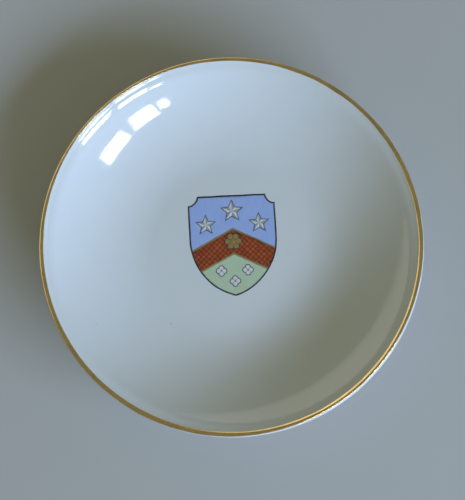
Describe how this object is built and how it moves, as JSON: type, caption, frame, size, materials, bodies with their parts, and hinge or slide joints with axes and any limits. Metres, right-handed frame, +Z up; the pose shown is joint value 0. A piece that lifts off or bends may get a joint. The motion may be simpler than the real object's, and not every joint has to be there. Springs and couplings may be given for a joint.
{
  "type": "souvenir plate",
  "caption": "Round deep coupe plate in glazed porcelain on a foot ring, with a thin gold line on the lip and a small painted heraldic shield in the flat well.",
  "frame": {"origin": "on the table, at the centre of the foot ring", "axes": "+Z up out of the plate, along its axis of turning; +Y towards the top of the painted shield; +X to the shield's right as seen from above"},
  "size_m": [0.2004, 0.2004, 0.031],
  "materials": {
    "bare_porcelain": "unglazed and slightly rough, seen only on the foot ring's rim",
    "clear_glaze": "glossy cool-white glaze",
    "rim_gold": "burnished gold line, brushed on by hand",
    "painted_gold": "satin gold, brushed on by hand",
    "black_ink": "fired line ink with a soft gloss",
    "blue_enamel": "fired enamel, hand painted",
    "red_enamel": "fired enamel, hand painted in strokes",
    "green_enamel": "fired enamel, hand painted",
    "white_enamel": "fired enamel, hand painted"
  },
  "bodies": {
    "root": {"porcelain_body": "bare_porcelain", "glaze_outer_coat": "clear_glaze", "glaze_base_coat": "clear_glaze", "gilded_rim_line": "rim_gold", "shield_frame_ink": "black_ink", "upper_blue_enamel": "blue_enamel", "chevron_red_enamel": "red_enamel", "lower_green_enamel": "green_enamel", "upper_gilt_line": "painted_gold", "lower_gilt_line": "painted_gold", "gilt_rosette": "painted_gold", "gilt_rosette_ink": "black_ink", "top_star": "white_enamel", "top_star_ink": "black_ink", "left_star": "white_enamel", "left_star_ink": "black_ink", "right_star": "white_enamel", "right_star_ink": "black_ink", "left_flower": "white_enamel", "left_flower_ink": "black_ink", "right_flower": "white_enamel", "right_flower_ink": "black_ink", "lower_flower": "white_enamel", "lower_flower_ink": "black_ink"}
  },
  "joints": []
}
